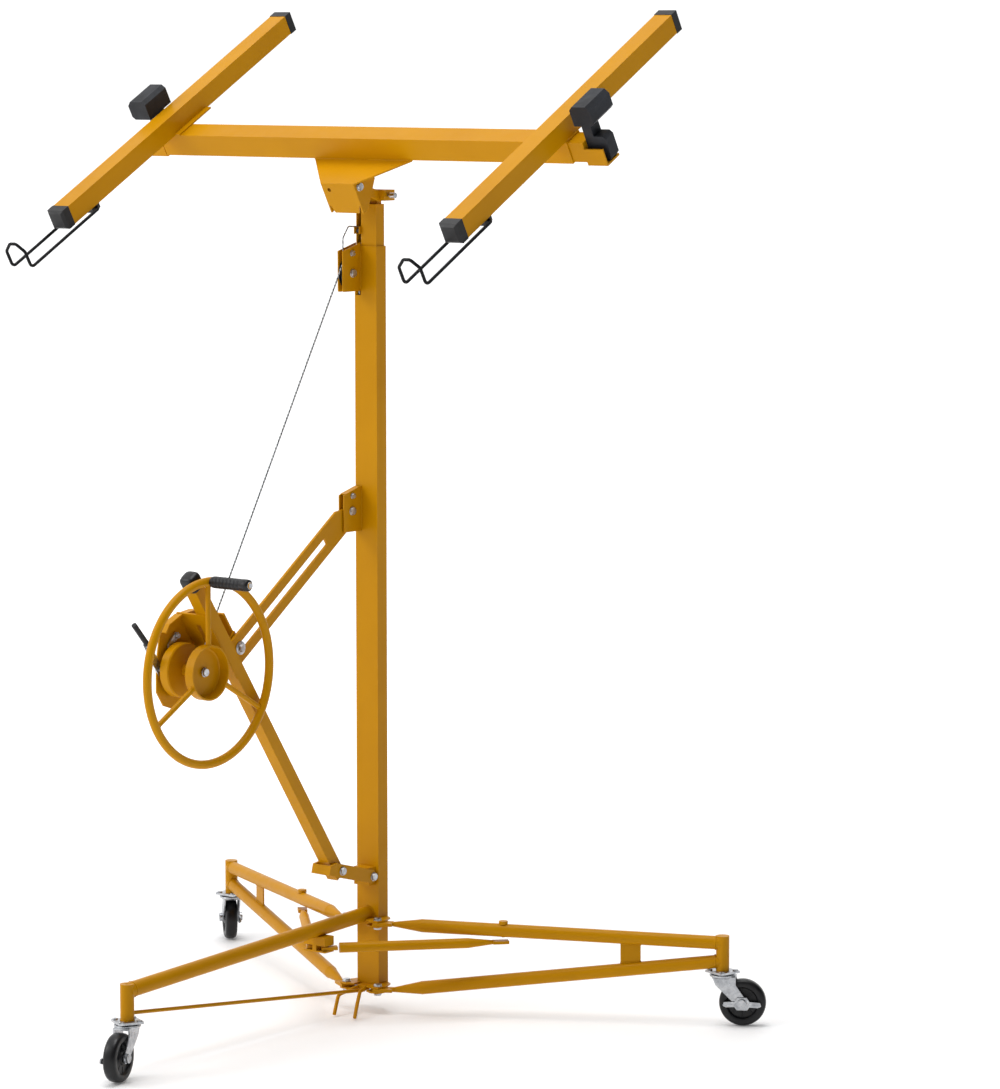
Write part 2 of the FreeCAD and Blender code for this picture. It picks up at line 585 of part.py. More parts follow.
def build_winch():
    """The winch's housing on the strut, its axle with the brake's pins, the drum and its ratchet."""
    strut_half = size("strut_side") / 2
    back_plate = side_plate(HOUSING_OUTLINE, "sheet_wall", -56.5)
    base = block(V(-23, -strut_half - 1.5, 564), "70", "sheet_wall", "150")
    brace_notch = block(V(-18, -strut_half - 1.5, 508), "10", "10", "60")
    cable_notch = block(V(-18, -strut_half - 1.5, 592), "10", "10", "44")
    lip = side_plate(LIP_OUTLINE, "14", -49)
    web = block(V(-41.5, 58, 540), "28", "4", "76")
    lug = side_plate([(60, 486), (60, 536), (36, 530), (30, 506), (38, 484)], "4", -25.5)
    holes = []
    for w, s, radius in ((axle_out, axle_along, "bolt_radius"), (*LEVER_PIVOT, "pin_radius"),
                         (*PAWL_PIVOT, "pin_radius"), (47.3, 506.6, "slot_bolt_radius")):
        holes.append(rod(V(-70, w, s), V(-20, w, s), radius))
    sheet_parts = join(back_plate, cut(base, brace_notch, cable_notch), lip, web, lug)
    label(cut(sheet_parts, *holes), "winch_housing", strut_frame)

    pins = [bolt(V(-58, axle_out, axle_along), V(17, axle_out, axle_along))]
    for (w, s), reach in ((LEVER_PIVOT, -52.4), (PAWL_PIVOT, -47.8)):
        pins.append(rod(V(-58, w, s), V(reach, w, s), "pin_radius"))
        pins.append(rod(V(-61, w, s), V(-58, w, s), "head_radius - 3"))
    label(join(*pins), "winch_axle", strut_frame)

    hub = PLACE(V(0, axle_out, axle_along), TURN())
    bore = size("bolt_hole_radius")
    wide = size("drum_radius")
    core = size("core_radius")
    drum = [(-47.6, bore), (-47.6, wide - 2), (-45.6, wide), (-29, wide), (-27, wide - 2), (-27, core),
            (9.7, core), (9.7, bore)]
    label(turned(drum, strut_frame.multiply(hub)), "cable_drum")
    windings = turned([(-15.6, core + 0.02), (-15.6, core + 3.2), (9, core + 3.2), (9, core + 0.02)],
                      strut_frame.multiply(hub))
    label(windings, "cable_windings")





def build_ratchet():
    """The ratchet wheel on the drum, and the pawl that is held clear of it."""
    teeth = 24
    tip = 42
    root = 38
    outline = []
    for i in range(teeth):
        lead = 2 * math.pi * i / teeth
        fall = lead + 2 * math.pi * 0.8 / teeth
        outline.append((root * math.cos(lead), root * math.sin(lead)))
        outline.append((tip * math.cos(fall), tip * math.sin(fall)))
    centre = strut_frame.multiply(PLACE(V(0, axle_out, axle_along), TURN()))
    wheel = plate(outline, "4", PLACE(V(-50, 0, 0), SIDE_ON))
    bore = rod(V(-60, 0, 0), V(-40, 0, 0), "bolt_hole_radius")
    label(cut(wheel, bore), "ratchet_wheel", centre)

    y, z = PAWL_PIVOT
    outline = [(y - 6, z - 6), (y + 5, z - 5), (y + 7, z + 2), (y + 2, z + 7), (y - 6, z + 6),
               (y - 26, z + 1), (y - 30, z - 5)]
    pawl = plate(outline, "4", PLACE(V(-50.2, 0, 0), SIDE_ON))
    hole = rod(V(-60, y, z), V(-40, y, z), "pin_hole_radius")
    label(cut(pawl, hole), "ratchet_pawl", strut_frame)


def build_hand_wheel():
    """The hand wheel: its cup, three spokes and rim, and the spinner grip on the rim."""
    bore = size("bolt_hole_radius")
    wide = size("cup_radius")
    near = 10.3
    mouth = near + size("cup_depth")
    cup = turned([(near, bore), (near, wide - 6), (near + 4, wide), (mouth, wide), (mouth, wide - 3),
                  (near + 5, wide - 6), (near + 3.5, wide - 9), (near + 3.5, bore)], PLACE(ORIGIN, TURN()))
    rim = bind(doc.addObject("Part::Torus", "Rim"), Radius1="wheel_radius", Radius2="rim_radius")
    rim_plane = 28
    rim.Placement = PLACE(V(rim_plane, 0, 0), TURN(NORTH, 90))
    spokes = []
    for angle in (90, 210, 330):
        out = V(0, math.cos(math.radians(angle)), math.sin(math.radians(angle)))
        centre = V(rim_plane - 1.5, 0, 0)
        spokes.append(rod(centre + out * (wide - 2), centre + out * size("wheel_radius"), "spoke_radius"))
    spindle_at = V(rim_plane, 0, size("wheel_radius"))
    spindle = rod(spindle_at, spindle_at + EAST * 99, "pin_radius")
    tip = rod(spindle_at + EAST * 96.5, spindle_at + EAST * 99, "head_radius - 3")
    place = PLACE(axle, TURN())
    label(join(cup, rim, *spokes, spindle, tip), "hand_wheel", place)

    bore = size("pin_hole_radius")
    start = rim_plane + size("rim_radius") + 0.5
    end = rim_plane + 96
    grip = [(start, bore), (start, 9), (start + 3, 10.5), (end - 4, 11), (end, 8.5), (end, bore)]
    label(turned(grip, place.multiply(PLACE(V(0, 0, spindle_at.z), TURN()))), "spinner_grip")


def build_brake():
    """The brake lever with its grip, pivoted on the inner side of the housing."""
    y, z = LEVER_PIVOT
    arm = plate([(y - 8, z - 8), (y + 7, z - 8), (y + 7, z + 30), (y + 3, z + 66), (y - 8, z + 66), (y - 9, z + 20)],
                "2", PLACE(V(-53.7, 0, 0), SIDE_ON))
    stem = rod(V(-50, y - 1, z + 50), V(-50, y - 3, z + 66), "spoke_radius - 1")
    hole = rod(V(-70, y, z), V(-40, y, z), "pin_hole_radius")
    label(cut(join(arm, stem), hole), "brake_lever", strut_frame)
    grip = rod(V(-50, y - 2, z + 62), V(-50, y - 9, z + 114), "spoke_radius")
    inside = rod(V(-50, y - 1, z + 50), V(-50, y - 3, z + 66), "spoke_radius - 1")
    socket = block(V(-53.7, y, z + 52), "2", "40", "30")
    label(cut(grip, inside, socket), "brake_lever_grip", strut_frame)


def build_cables():
    """The hoist cable from drum to pulley to the middle section's foot, and the inner section's cable."""
    drum_at = V(cable_x, axle.y, axle.z)
    gap = pulley_centre - drum_at
    winding = size("winding_radius")
    groove = size("pulley_groove")
    straight = math.atan2(gap.z, gap.y) + math.asin((winding + groove) / gap.Length)
    across = V(0, math.sin(straight), -math.cos(straight))
    start = drum_at + across * winding
    touch = pulley_centre - across * groove
    top = pulley_centre + UP * groove
    down = pulley_centre + NORTH * groove
    middle_of_wrap = pulley_centre + V(0, -math.sin(straight / 2), math.cos(straight / 2)) * groove
    corner = pulley_centre + V(0, 1, 1).normalize() * groove
    edges = [Part.LineSegment(start, touch).toShape(), Part.Arc(touch, middle_of_wrap, top).toShape(),
             Part.Arc(top, corner, down).toShape(), Part.LineSegment(down, V(cable_x, down.y, 80)).toShape()]
    path = Part.Wire(edges)
    section = Part.Wire([Part.makeCircle(size("cable_radius"), start, touch - start)])
    cable = doc.addObject("Part::Feature", "Cable")
    cable.Shape = path.makePipeShell([section], True, False)
    print(f"hoist cable: {path.Length:.0f} mm from drum to anchor")
    label(cable, "hoist_cable")

    inside = size("inner_offset") - size("inner_depth") / 2 - 2.1
    lift = bent_rod([V(cable_x, -58, 1441), V(cable_x, -58, 1466), V(cable_x, -42, 1487),
                     V(cable_x, inside, 1485), V(cable_x, inside, 90)], size("lift_cable_radius"), 6.5)
    label(lift, "inner_lift_cable")

    flange = size("pulley_radius")
    half = size("pulley_thickness") / 2
    seat = groove - size("cable_radius") - 0.3
    profile = [(-half, size("bolt_hole_radius")), (-half, flange), (-half + 1.6, flange), (-1.6, seat),
               (1.6, seat), (half - 1.6, flange), (half, flange), (half, size("bolt_hole_radius"))]
    label(turned(profile, PLACE(pulley_centre, TURN())), "top_pulley")


# ---------------------------------------------------------------- cradle
def build_head():
    """The block and fork on the inner section, the tilt bolt, and the latch pin."""
    top = size("inner_top")
    body = block(V(0, 0, top + 10), "92", "32", "20")
    arms = []
    y, z = cradle_pivot.y, cradle_pivot.z
    for x in (-33, 33):
        outline = [(10, top), (10, top + 18), (-16, top + 18), (y + 3, z + 7.6), (y - 3, z + 7.6),
                   (y - 7.6, z + 3), (y - 7.6, z - 3), (y - 3, z - 7.6), (-16, top)]
        arms.append(side_plate(outline, "5", x))
    bore = rod(V(-60, y, z), V(60, y, z), "bolt_hole_radius")
    latch_hole = rod(V(8, -4, top + 10), V(60, -4, top + 10), "pin_hole_radius")
    label(cut(join(body, *arms), bore, latch_hole), "mast_head")

    half = size("head_width") / 2
    label(bolt(V(-half, y, z), V(half, y, z)), "tilt_bolt")

    latch = join(rod(V(12, -4, top + 10), V(62, -4, top + 10), "pin_radius"),
                 rod(V(52, -4, top + 10), V(64, -4, top + 10), "spoke_radius"))
    label(latch, "tilt_latch")


def build_cradle():
    """The crossbeam with its gusset and pivot box, the two cross arms, their caps and clips."""
    side = size("beam_side") / 2
    beam = hollow(ORIGIN, "beam_length", "beam_side", "beam_side", "beam_wall", "x")
    half = size("head_width") / 2
    front = -110
    gusset = plate([(-116, -side), (116, -side), (half, front), (-half, front)], "sheet_wall",
                   PLACE(V(0, 0, -side - 1.5), TURN()))
    seam = plate([(-116, -side - 1), (116, -side - 1), (116, -side + 8), (-116, -side + 8)], "2",
                 PLACE(V(0, 0, -side - 1), TURN()))
    sides = []
    for x in (1.5 - half, half - 1.5):
        outline = [(front, -side - 1), (-50, -side - 1), (-50, -45), (-95, -85), (front, -85)]
        sides.append(side_plate(outline, "sheet_wall", x))
    face = plate([(-half, -side - 1), (half, -side - 1), (half, -60), (half - 11, -85), (11 - half, -85),
                  (-half, -60)], "sheet_wall", PLACE(V(0, front + 1.5, 0), TURN(EAST, 90)))
    y, z = -size("pivot_back"), -size("pivot_drop")
    bore = rod(V(-60, y, z), V(60, y, z), "bolt_radius")
    window = rod(V(-24, front - 5, -36), V(-24, front + 8, -36), "bolt_radius - 1")
    flange_x = (size("arm_spacing") - size("arm_side")) / 2 - 6.1
    flanges = [block(V(hand * flange_x, 30, side + 1.4), "12", "104", "3") for hand in (-1, 1)]
    label(cut(join(beam, gusset, seam, *flanges, *sides, face), bore, window), "cradle_beam", cradle_frame)

    rise = side + size("arm_side") / 2
    caps = []
    clips = []
    for name, hand in (("left", -1), ("right", 1)):
        centre = V(hand * size("arm_spacing") / 2, size("arm_shift"), rise)
        arm = hollow(centre, "arm_side", "arm_length", "arm_side", "arm_wall", "y")
        label(arm, f"{name}_arm", cradle_frame)
        for end in (-1, 1):
            at = centre + V(0, end * (size("arm_length") + size("cap_length")) / 2, 0)
            caps.append(bevelled_cap(at, "arm_side + 1.6", "cap_length", 5, end))
        clip_at = centre + V(0, 69.4 - size("arm_length") / 2, -size("arm_side") / 2 - 6)
        clip = block(clip_at, "28", "22", "12")
        pivot = rod(clip_at - EAST * 20, clip_at + EAST * 20, "hook_wire + 0.06")
        clips.append(cut(clip, pivot))
        build_hook(name, clip_at)
        build_outrigger(name, hand)
    label(join(*caps), "arm_caps", cradle_frame)
    label(join(*clips), "hook_clips", cradle_frame)


def bevelled_cap(centre, wide, deep, bevel, end):
    """A plastic end cap along Y, square in section, with its outer edges bevelled."""
    cap = bind(doc.addObject("Part::Box", "Cap"), Length=wide, Width=deep, Height=wide)
    doc.recompute()
    half = V(cap.Length.Value / 2, cap.Width.Value / 2, cap.Height.Value / 2)
    cap.Placement = PLACE(centre - half, TURN())
    doc.recompute()
    outer = centre.y + end * half.y
    chamfer = doc.addObject("Part::Chamfer", "CapChamfer")
    chamfer.Base = cap
    chamfer.Edges = [(i, float(bevel), float(bevel)) for i, edge in enumerate(cap.Shape.Edges, 1)
                     if abs(edge.CenterOfMass.y - outer) < 0.01]
    return chamfer


def build_hook(name, pivot):
    """A wire hook: its two legs run out past the arm's end and turn up into a loop."""
    half = size("hook_half_width")
    out = -size("hook_length")
    rise = size("hook_rise")
    points = [(-1.5, 0, 0), (-half, 0, 0), (-half, out, 0), (-half, out, rise - 16), (-half + 16, out, rise),
              (half - 16, out, rise), (half, out, rise - 16), (half, out, 0), (half, 0, 0), (1.5, 0, 0)]
    hook = bent_rod([pivot + V(*p) for p in points], size("hook_wire"), 9)
    label(hook, f"{name}_hook", cradle_frame)


def build_outrigger(name, hand):
    """A telescoping outrigger in the crossbeam, with its end bracket and rubber rest."""
    end = size("beam_length") / 2 + size(f"{name}_draw")
    middle = hand * (end - size("outrigger_length") / 2)
    tube = hollow(V(middle, 0, 0), "outrigger_length", "outrigger_side", "outrigger_side", "arm_wall", "x")
    upright = block(V(hand * (end + 1.5), 0, -3.5), "3", "outrigger_side", "46")
    tray = block(V(hand * (end + 22), 0, -24.5), "44", "outrigger_side", "4")
    screw_at = V(hand * (end + 26), 0, -24.5)
    screw = join(rod(screw_at - UP * 12, screw_at, "rod_radius"),
                 rod(screw_at - UP * 8, screw_at - UP * 2, "head_radius - 1"))
    front = block(V(hand * (end + 23), -19.5, -9), "42", "3", "33")
    label(join(tube, upright, tray, front, screw), f"{name}_outrigger", cradle_frame)
    upper = [(0, 58), (38, 58), (44, 64), (44, 88), (36, 97), (7, 97), (0, 90)]
    lower = [(0, -22), (38, -22), (44, -16), (44, 21), (38, 27), (20, 27), (20, 60), (0, 60)]
    lobes = []
    for outline, deep, shift in ((upper, "68", 8), (lower, "26", 5)):
        points = [(hand * (end + 3.2 + x), z) for x, z in outline]
        lobes.append(plate(points, deep, PLACE(V(0, shift, 0), TURN(EAST, 90))))
    label(join(*lobes), f"{name}_pad", cradle_frame)


# ---------------------------------------------------------------- the whole lift
build_mast()
build_mast_brackets()
build_root_bolts()
build_link()
build_hubs()
build_front_leg()
build_stand_rods()
for hand in (-1, 1):
    build_side_leg(hand)
    build_stretcher(hand)
leg_angle = math.radians(size("side_leg_heading"))
side_x = size("hinge_reach_x") + size("side_leg_length") * math.cos(leg_angle)
side_y = size("side_leg_length") * math.sin(leg_angle) - size("hinge_reach_y")
build_caster("front", V(0, -size("front_leg_length"), 0), 287)
build_caster("right", V(side_x, side_y, 0), 30)
build_caster("left", V(-side_x, side_y, 0), 137)
build_strut()
build_winch()
build_ratchet()
build_hand_wheel()
build_brake()
build_cables()
build_head()
build_cradle()
doc.recompute()

# ---------------------------------------------------------------- checks and export
for obj in doc.Objects:
    if "Invalid" in obj.State or "Error" in obj.State:
        raise RuntimeError(f"{obj.Label} ({obj.Name}) failed: {obj.State}")
os.makedirs("parts", exist_ok=True)
names = [obj.Label for obj in pieces]
if len(set(names)) != len(names):
    raise RuntimeError("two sub-parts share a name")
for obj in pieces:
    shape = obj.Shape
    if shape.isNull() or not shape.isValid():
        raise RuntimeError(f"{obj.Label} has no valid shape")
    shape.exportStep(f"parts/{obj.Label}.step")
print(f"{len(pieces)} sub-parts, highest point {max(o.Shape.BoundBox.ZMax for o in pieces):.0f} mm")
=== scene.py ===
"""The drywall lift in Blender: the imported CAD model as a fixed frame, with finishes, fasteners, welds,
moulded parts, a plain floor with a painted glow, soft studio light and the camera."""
import json
import math
import random

import bmesh
import bpy
from mathutils import Matrix, Vector


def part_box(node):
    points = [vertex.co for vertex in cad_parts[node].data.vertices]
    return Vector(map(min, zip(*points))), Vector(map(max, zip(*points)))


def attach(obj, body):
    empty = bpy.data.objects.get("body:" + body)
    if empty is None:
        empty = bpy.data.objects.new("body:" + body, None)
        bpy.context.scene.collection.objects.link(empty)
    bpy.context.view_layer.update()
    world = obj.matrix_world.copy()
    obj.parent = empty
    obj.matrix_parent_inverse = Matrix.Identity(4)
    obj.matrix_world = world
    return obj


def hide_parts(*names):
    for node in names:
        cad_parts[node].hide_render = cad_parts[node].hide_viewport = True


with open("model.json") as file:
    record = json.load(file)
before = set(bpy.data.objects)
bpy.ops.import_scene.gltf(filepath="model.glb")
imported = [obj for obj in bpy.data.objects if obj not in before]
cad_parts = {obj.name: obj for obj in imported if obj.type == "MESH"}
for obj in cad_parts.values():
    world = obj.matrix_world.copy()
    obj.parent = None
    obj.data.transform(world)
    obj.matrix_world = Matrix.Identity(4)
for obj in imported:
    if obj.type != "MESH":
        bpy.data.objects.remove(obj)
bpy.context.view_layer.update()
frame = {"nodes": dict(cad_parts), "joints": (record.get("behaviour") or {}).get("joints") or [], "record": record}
nodes = frame["nodes"]
joints = {joint["name"]: joint for joint in frame["joints"]}
scene = bpy.context.scene
random.seed(7)

MM = 0.001
X = Vector((1, 0, 0))
Y = Vector((0, 1, 0))
Z = Vector((0, 0, 1))


def at(name):
    """A joint's point, in metres."""
    return Vector(joints[name]["pos_m"])


def tilted(origin, angle):
    """The frame at a point, turned about X."""
    return Matrix.Translation(origin) @ Matrix.Rotation(math.radians(angle), 4, "X")


# Angles in degrees and the strut's length in millimetres.
STRUT_LEAN = 33.96
STRUT_TOP = 690
CRADLE_TILT = 29.4
# The strut's frame has Z along the tube from its foot. The cradle's has its origin in the crossbeam.
STRUT = tilted(at("strut_fold"), STRUT_LEAN)
CRADLE = tilted(at("cradle_tilt"), CRADLE_TILT) @ Matrix.Translation(Vector((0, 97, 35)) * MM)

# Bolts as shank radius, washer radius and width across the head, in metres.
PIVOT_BOLT = (0.005, 0.0084, 0.0138)
BRACKET_BOLT = (0.003, 0.006, 0.0098)
BRAKE_PIN = (0.003, 0.0052, 0.0078)

# The side legs' two tubes as heights above the floor over the distance from the hinge, in millimetres.
LEG_RUN = 654
UPPER_START, UPPER_FALL = 173, 18
LOWER_START, LOWER_RISE = 46, 75

# The camera's place round and above the mast, and its aim, in degrees, metres and radians.
CAMERA_AZIMUTH = 39.163
CAMERA_DISTANCE = 7.9692
CAMERA_HEIGHT = 1.8321
CAMERA_PAN = -0.0304
CAMERA_DIP = 0.1179
CAMERA_LENS = 140.96


# ---------------------------------------------------------------- camera
def make_camera():
    """A long lens 39 degrees round towards +X, 8 m away."""
    azimuth = math.radians(CAMERA_AZIMUTH)
    back = Vector((math.sin(azimuth), -math.cos(azimuth), 0))
    ahead = Matrix.Rotation(CAMERA_PAN, 3, "Z") @ -back
    look = ahead * math.cos(CAMERA_DIP) - Z * math.sin(CAMERA_DIP)
    right = look.cross(Z).normalized()
    up = right.cross(look)
    camera = bpy.data.objects.new("Camera", bpy.data.cameras.new("Camera"))
    turn = Matrix((right, up, -look)).transposed().to_4x4()
    camera.matrix_world = Matrix.Translation(back * CAMERA_DISTANCE + Z * CAMERA_HEIGHT) @ turn
    camera.data.lens = CAMERA_LENS
    camera.data.sensor_width = 36
    camera.data.clip_end = 300
    scene.collection.objects.link(camera)
    scene.camera = camera


# ---------------------------------------------------------------- finishes
def srgb(red, green, blue):
    """A colour given as 0 to 255, as linear RGBA."""
    linear = []
    for value in (red, green, blue):
        value /= 255
        linear.append(value / 12.92 if value <= 0.04045 else ((value + 0.055) / 1.055) ** 2.4)
    return (*linear, 1)


def set_range(node, low, high, value_low, value_high):
    """Sets a Map Range node's four limits."""
    for key, value in (("From Min", low), ("From Max", high), ("To Min", value_low), ("To Max", value_high)):
        node.inputs[key].default_value = value


class Finish:
    """A node material built up step by step on one Principled shader."""

    def __init__(self, name, roughness, metallic=0.0):
        self.material = bpy.data.materials.new(name)
        self.material.use_nodes = True
        self.tree = self.material.node_tree
        self.shader = next(n for n in self.tree.nodes if n.type == "BSDF_PRINCIPLED")
        self.shader.inputs["Roughness"].default_value = roughness
        self.shader.inputs["Metallic"].default_value = metallic
        self.place = self.add("ShaderNodeTexCoord").outputs["Object"]
        self.bumped = None

    def add(self, kind, **settings):
        node = self.tree.nodes.new(kind)
        for key, value in settings.items():
            setattr(node, key, value)
        return node

    def link(self, source, target):
        self.tree.links.new(source, target)

    def noise(self, scale, detail=3.0, roughness=0.5, stretch=None):
        """Noise of a scale in waves per metre, in the piece's own place."""
        node = self.add("ShaderNodeTexNoise")
        node.inputs["Scale"].default_value = scale
        node.inputs["Detail"].default_value = detail
        node.inputs["Roughness"].default_value = roughness
        source = self.place
        if stretch:
            mapping = self.add("ShaderNodeMapping")
            mapping.inputs["Scale"].default_value = stretch
            self.link(self.place, mapping.inputs["Vector"])
            source = mapping.outputs["Vector"]
        self.link(source, node.inputs["Vector"])
        return node.outputs["Fac"]

    def ramp(self, source, low, high, value_low=0.0, value_high=1.0):
        """The source, from low to high, mapped to the two values."""
        node = self.add("ShaderNodeMapRange")
        set_range(node, low, high, value_low, value_high)
        self.link(source, node.inputs["Value"])
        return node.outputs["Result"]

    def mix(self, factor, first, second):
        """A blend of two colours or colour outputs."""
        node = self.add("ShaderNodeMix", data_type="RGBA")
        self.link(factor, node.inputs["Factor"])
        for letter, value in (("A", first), ("B", second)):
            socket = next(s for s in node.inputs if s.name == letter and s.type == "RGBA")
            if hasattr(value, "links"):
                self.link(value, socket)
            else:
                socket.default_value = value
        return next(s for s in node.outputs if s.type == "RGBA")

    def colour(self, value):
        """Sets the base colour to a colour or to a colour output."""
        if hasattr(value, "links"):
            self.link(value, self.shader.inputs["Base Color"])
        else:
            self.shader.inputs["Base Color"].default_value = value

    def rough(self, source):
        """Drives the roughness by a value output."""
        self.link(source, self.shader.inputs["Roughness"])

    def bump(self, height, strength, depth):
        """Adds relief of a depth in metres on top of what is there."""
        node = self.add("ShaderNodeBump")
        node.inputs["Strength"].default_value = strength
        node.inputs["Distance"].default_value = depth
        self.link(height, node.inputs["Height"])
        if self.bumped:
            self.link(self.bumped, node.inputs["Normal"])
        self.bumped = node.outputs["Normal"]
        self.link(self.bumped, self.shader.inputs["Normal"])

    def edges(self, radius):
        """1 along edges that stand out, 0 on flat faces."""
        bevel = self.add("ShaderNodeBevel", samples=4)
        bevel.inputs["Radius"].default_value = radius
        flat = self.add("ShaderNodeNewGeometry").outputs["Normal"]
        dot = self.add("ShaderNodeVectorMath", operation="DOT_PRODUCT")
        self.link(bevel.outputs["Normal"], dot.inputs[0])
        self.link(flat, dot.inputs[1])
        return self.ramp(dot.outputs["Value"], 0.985, 0.86)

    def times(self, first, second):
        """The product of two value outputs."""
        node = self.add("ShaderNodeMath", operation="MULTIPLY")
        self.link(first, node.inputs[0])
        self.link(second, node.inputs[1])
        return node.outputs["Value"]


def powder_coat(name, base, shade, worn, roughness=0.34):
    """Sprayed and baked paint: slight orange peel, cloudy tone, thin and rubbed along the edges."""
    paint = Finish(name, roughness)
    paint.shader.inputs["Specular IOR Level"].default_value = 0.1
    cloud = paint.ramp(paint.noise(7, 4), 0.35, 0.7)
    tone = paint.mix(cloud, base, shade)
    specks = paint.ramp(paint.noise(900, 2), 0.72, 0.78, 0, 0.5)
    tone = paint.mix(specks, tone, shade)
    rubbed = paint.ramp(paint.noise(60, 5, 0.7), 0.5, 0.62, 0, 0.8)
    paint.colour(paint.mix(paint.times(paint.edges(0.0012), rubbed), tone, worn))
    paint.rough(paint.ramp(paint.noise(40, 4), 0.3, 0.7, roughness - 0.05, roughness + 0.09))
    paint.bump(paint.noise(420, 2), 0.12, 0.0005)
    paint.bump(paint.noise(28, 3), 0.05, 0.002)
    return paint.material


def moulded(name, base, light, roughness, grain, depth):
    """Moulded plastic or rubber: fine grain, slightly lighter where it is handled."""
    plastic = Finish(name, roughness)
    plastic.shader.inputs["Specular IOR Level"].default_value = 0.35
    handled = plastic.ramp(plastic.noise(18, 4), 0.42, 0.75)
    tone = plastic.mix(handled, base, light)
    plastic.colour(plastic.mix(plastic.ramp(plastic.edges(0.0015), 0, 1, 0, 0.45), tone, light))
    plastic.rough(plastic.ramp(plastic.noise(55, 4), 0.3, 0.7, roughness - 0.06, roughness + 0.1))
    plastic.bump(plastic.noise(grain, 3), 0.25, depth)
    return plastic.material


def plated(name, base, dull, roughness):
    """Bright zinc plate: faint spangle, dull patches and fine scratches."""
    metal = Finish(name, roughness, metallic=1.0)
    metal.colour(metal.mix(metal.ramp(metal.noise(90, 5, 0.65), 0.4, 0.72), base, dull))
    metal.rough(metal.ramp(metal.noise(140, 4), 0.3, 0.7, roughness - 0.08, roughness + 0.14))
    metal.bump(metal.noise(300, 2, stretch=(1, 1, 8)), 0.08, 0.0003)
    return metal.material


def stranded(name, base, painted_groove_shade, stretch):
    """Wire rope: twisted strands, with painted shade in the grooves between them."""
    rope = Finish(name, 0.34, metallic=0.9)
    mapping = rope.add("ShaderNodeMapping")
    mapping.inputs["Scale"].default_value = stretch
    rope.link(rope.place, mapping.inputs["Vector"])
    wave = rope.add("ShaderNodeTexWave", bands_direction="DIAGONAL")
    wave.inputs["Scale"].default_value = 60
    wave.inputs["Distortion"].default_value = 0.4
    rope.link(mapping.outputs["Vector"], wave.inputs["Vector"])
    lay = wave.outputs["Fac"]
    # The lay bands blend the steel colour towards a painted shade in the grooves between the strands.
    rope.colour(rope.mix(rope.ramp(lay, 0.1, 0.6), painted_groove_shade, base))
    rope.bump(lay, 0.8, 0.0006)
    rope.bump(rope.noise(900, 2), 0.1, 0.0002)
    return rope.material


YELLOW = powder_coat("yellow_powder_coat", srgb(192, 134, 0), srgb(186, 128, 0), srgb(206, 152, 36))
BLACK_PAINT = powder_coat("black_coat", srgb(24, 25, 28), srgb(17, 18, 20), srgb(74, 76, 80), 0.26)
BLACK_PLASTIC = moulded("black_plastic", srgb(13, 13, 15), srgb(30, 31, 35), 0.4, 600, 0.0002)
RUBBER = moulded("black_rubber", srgb(21, 23, 28), srgb(38, 42, 50), 0.55, 260, 0.0005)
TREAD = moulded("wheel_black", srgb(9, 9, 11), srgb(22, 23, 26), 0.36, 420, 0.0002)
GLIDE = moulded("pale_glide", srgb(210, 208, 198), srgb(228, 226, 218), 0.5, 500, 0.0002)
ZINC = plated("zinc_plate", srgb(196, 198, 201), srgb(150, 153, 158), 0.3)
# Each rope's second colour is the painted shade in the grooves between its strands.
CABLE = stranded("wire_rope", srgb(176, 178, 180), srgb(70, 71, 74), (1, 1, 1))
WOUND = stranded("wound_rope", srgb(168, 170, 172), srgb(58, 59, 62), (3.2, 0.25, 0.25))

FINISHES = {
    "yellow_paint": YELLOW, "black_plastic": BLACK_PLASTIC, "black_paint": BLACK_PAINT, "zinc": ZINC,
    "cable_steel": CABLE, "rubber": RUBBER, "glide_plastic": GLIDE, "caster_tread": TREAD,
}


def finish_cad():
    """Gives every CAD node its finish, softened edges and smooth round faces."""
    slots = {entry["node"]: entry["material_slot"] for entry in frame["record"]["subparts"]}
    for name, obj in nodes.items():
        obj.data.materials.clear()
        obj.data.materials.append(WOUND if name == "cable_windings" else FINISHES[slots[name]])
        soften(obj, 0.0007)


def soften(obj, width):
    """Rounds sharp edges slightly and shades round faces smooth."""
    obj.data.shade_smooth()
    bevel = obj.modifiers.new("Edges", "BEVEL")
    bevel.width = width
    bevel.segments = 2
    bevel.limit_method = "ANGLE"
    bevel.angle_limit = math.radians(40)
    bevel.harden_normals = True
    bevel.use_clamp_overlap = True


# ---------------------------------------------------------------- mesh building
BEAD_STEP = 0.0012
SEAM_STEP = 0.0014


def mm(x, y, z):
    """A point given in millimetres, in metres."""
    return Vector((x, y, z)) * MM


def placed(point, axis):
    """The frame at a point with its X axis along the given one."""
    return Matrix.Translation(point) @ axis.normalized().to_track_quat("X", "Z").to_matrix().to_4x4()


